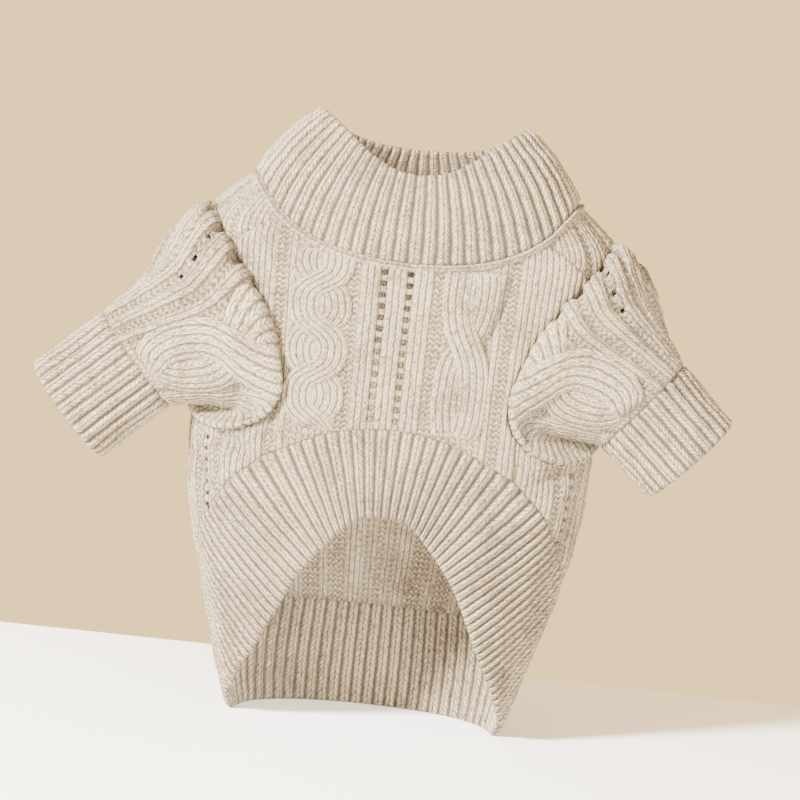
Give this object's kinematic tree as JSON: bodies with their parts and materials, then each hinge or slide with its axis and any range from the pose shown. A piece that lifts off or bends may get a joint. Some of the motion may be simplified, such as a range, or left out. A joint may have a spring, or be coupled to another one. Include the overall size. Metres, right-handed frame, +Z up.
{
  "type": "dog sweater",
  "caption": "Cable knit dog sweater with a ribbed turtleneck, short ribbed sleeves and an arched ribbed belly band, standing open on its hem.",
  "frame": {"origin": "middle of the bounding box on the floor that the hem stands on", "axes": "+Z up towards the turtleneck, -Y towards the belly side, +X to the right of someone who looks at the belly side"},
  "size_m": [0.3491, 0.1061, 0.3053],
  "materials": {
    "cable_knit": "oatmeal wool blend, cable and lace knit, matte with a soft nap",
    "rib_knit": "oatmeal wool blend, one by one rib, matte with a soft nap"
  },
  "bodies": {
    "root": {"front_panel": "cable_knit", "back_panel": "cable_knit", "belly_band": "rib_knit", "back_band": "rib_knit", "collar": "rib_knit", "sleeve_left": "cable_knit", "sleeve_right": "cable_knit", "cuff_left": "rib_knit", "cuff_right": "rib_knit"}
  },
  "joints": []
}
